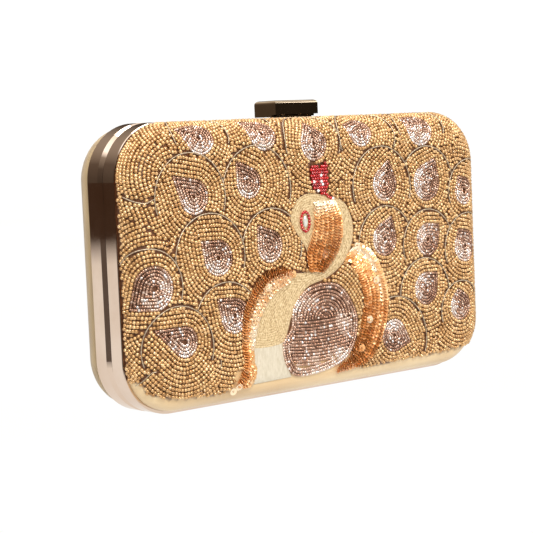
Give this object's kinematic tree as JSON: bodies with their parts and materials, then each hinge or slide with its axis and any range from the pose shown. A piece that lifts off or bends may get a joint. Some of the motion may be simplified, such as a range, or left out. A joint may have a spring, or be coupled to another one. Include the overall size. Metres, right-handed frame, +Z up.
{
  "type": "evening clutch bag",
  "caption": "Hard-shell box clutch: two metal rims hinged at the base, domed fabric panels, a beaded front and a sprung clasp bar on top.",
  "frame": {"origin": "centre of the base, on the line where the two halves part, at the level of the rims' flat undersides", "axes": "+X across the width, -Y is the embroidered front, +Z up to the clasp"},
  "size_m": [0.192, 0.043, 0.119],
  "materials": {
    "rim_metal": "polished pale gold plate",
    "clasp_metal": "mirror polished",
    "hinge_metal": "satin plated",
    "spring_steel": "bright spring steel",
    "shell_plastic": "moulded",
    "padding_felt": "felt",
    "satin": "gold satin",
    "raw_silk": "slubbed gold weave",
    "lining_satin": "satin lining",
    "gold_beads": "metallic glass seed beads",
    "brown_beads": "silver-lined cut glass beads",
    "zari_thread": "metallic thread embroidery",
    "sequins": "pearly gold sequins",
    "silver_tissue": "metallic tissue cloth",
    "red_beads": "red glass seed beads",
    "stone": "milky marquise stone"
  },
  "bodies": {
    "rear_half": {"rear_rim": "rim_metal", "rear_shell": "shell_plastic", "rear_padding": "padding_felt", "rear_cover": "raw_silk", "rear_lining": "lining_satin", "hinge_leaf_rear": "hinge_metal", "hinge_pin": "hinge_metal", "hinge_rivets_rear": "hinge_metal", "catch_tongue": "spring_steel", "catch_rivets": "hinge_metal"},
    "front_half": {"front_rim": "rim_metal", "front_shell": "shell_plastic", "front_padding": "padding_felt", "front_cover": "satin", "front_lining": "lining_satin", "hinge_leaf_front": "hinge_metal", "hinge_rivets_front": "hinge_metal", "clasp_base": "hinge_metal", "clasp_screws": "hinge_metal", "bead_field": "gold_beads", "feather_eyes": "brown_beads", "bird_body_beads": "brown_beads", "bird_zari_thread": "zari_thread", "sequin_bands": "sequins", "silver_patch": "silver_tissue", "crest_beads": "red_beads", "eye_ring": "red_beads", "eye_stone": "stone"},
    "clasp": {"clasp_bar": "clasp_metal", "clasp_pin": "hinge_metal", "clasp_spring": "spring_steel"}
  },
  "joints": [
    {"name": "case_hinge", "type": "hinge", "parent": "rear_half", "child": "front_half", "pos_m": [0, 0, 0.00125], "axis": [1, 0, 0], "range_deg": [0, 90], "deforming": ["catch_tongue"]},
    {"name": "clasp_lift", "type": "hinge", "parent": "front_half", "child": "clasp", "pos_m": [0, -0.004, 0.1142], "axis": [1, 0, 0], "range_deg": [0, 20], "stiffness_Nm_per_rad": 0.01, "springref_deg": -22.92, "deforming": ["clasp_spring"]}
  ]
}
